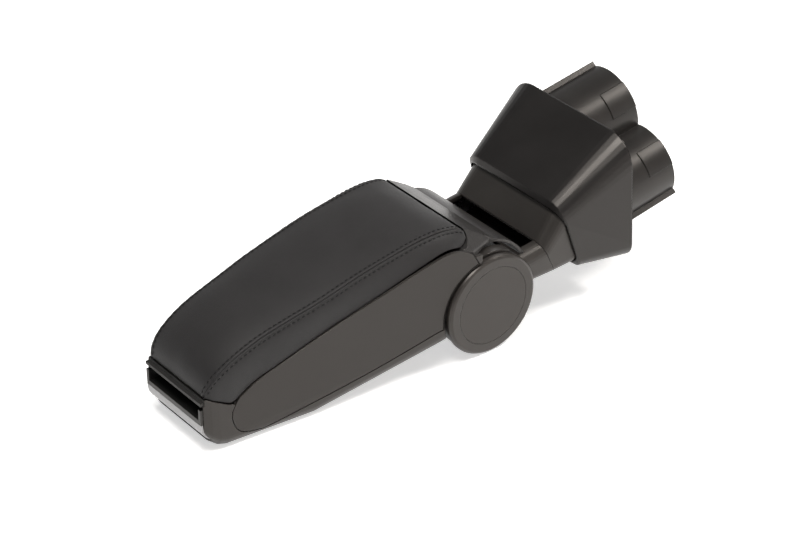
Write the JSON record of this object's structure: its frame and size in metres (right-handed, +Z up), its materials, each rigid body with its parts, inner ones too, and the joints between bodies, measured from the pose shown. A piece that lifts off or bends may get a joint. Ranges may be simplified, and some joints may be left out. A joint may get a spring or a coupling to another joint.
{
  "type": "car centre armrest",
  "caption": "Folding centre armrest with a leather lid over a storage box, hub discs and a hooded console mount with a twin-lobed plug",
  "frame": {"origin": "centre of the bounding box's base, on the table the armrest lies on", "axes": "+X across the armrest to its right side, +Y along it towards the console plug, -Y its front with the lid's lip, +Z up"},
  "size_m": [0.15, 0.4852, 0.1576],
  "materials": {
    "shell_plastic": "finely grained dark grey moulded plastic",
    "panel_plastic": "finely grained warm grey moulded plastic",
    "frame_plastic": "finely grained dark grey moulded plastic",
    "liner_plastic": "plain black moulded plastic",
    "mat_rubber": "ribbed black rubber",
    "front_plastic": "smooth black moulded plastic",
    "silver_trim": "satin silver coating, bare of any marking",
    "cast_alloy": "as-cast aluminium",
    "steel": "zinc-plated steel",
    "magnet": "nickel-coated magnet",
    "lid_foam": "moulded upholstery foam",
    "leather": "dark pebbled leather with double-stitched seams",
    "friction_lining": "brown friction lining",
    "neck_plastic": "satin dark grey moulded plastic",
    "disc_plastic": "satin warm grey moulded plastic",
    "cap_plastic": "finely grained warm grey moulded plastic",
    "hood_plastic": "semi-gloss dark grey moulded plastic",
    "plug_plastic": "semi-gloss dark grey moulded plastic"
  },
  "bodies": {
    "mount": {"steel_fork": "steel", "axle": "steel", "axle_nut": "steel", "friction_washer_left": "friction_lining", "friction_washer_right": "friction_lining", "yoke_left": "neck_plastic", "yoke_right": "neck_plastic", "hub_shield": "liner_plastic", "hub_disc_left": "disc_plastic", "hub_disc_right": "disc_plastic", "hub_cap_left": "cap_plastic", "hub_cap_right": "cap_plastic", "collar": "neck_plastic", "hood": "hood_plastic", "carrier_plate": "liner_plastic", "fork_bolts": "steel", "hood_screws": "steel", "plug_upper": "plug_plastic", "plug_lower": "plug_plastic", "plug_screws": "steel"},
    "armrest": {"bottom_shell": "shell_plastic", "side_panel_left": "panel_plastic", "side_panel_right": "panel_plastic", "rear_frame": "frame_plastic", "storage_liner": "liner_plastic", "bin_mat": "mat_rubber", "front_fascia": "front_plastic", "front_trim": "silver_trim", "hinge_core": "cast_alloy", "core_screws": "steel", "frame_screws": "steel", "lid_hinge_pin": "steel", "catch_magnets": "magnet"},
    "lid": {"lid_frame": "liner_plastic", "lid_foam": "lid_foam", "leather_cover": "leather", "catch_plates": "steel", "latch_pin": "steel", "latch_spring": "steel"},
    "latch": {"latch_paddle": "front_plastic"}
  },
  "joints": [
    {"name": "arm_fold", "type": "hinge", "parent": "mount", "child": "armrest", "pos_m": [0, 0.02492, 0.045], "axis": [-1, 0, 0], "range_deg": [0, 46]},
    {"name": "lid_open", "type": "hinge", "parent": "armrest", "child": "lid", "pos_m": [0, 0.00042, 0.1125], "axis": [-1, 0, 0], "range_deg": [0, 60]},
    {"name": "latch_pull", "type": "hinge", "parent": "lid", "child": "latch", "pos_m": [0, -0.23058, 0.0438], "axis": [-1, 0, 0], "range_deg": [0, 8], "stiffness_Nm_per_rad": 0.05}
  ]
}
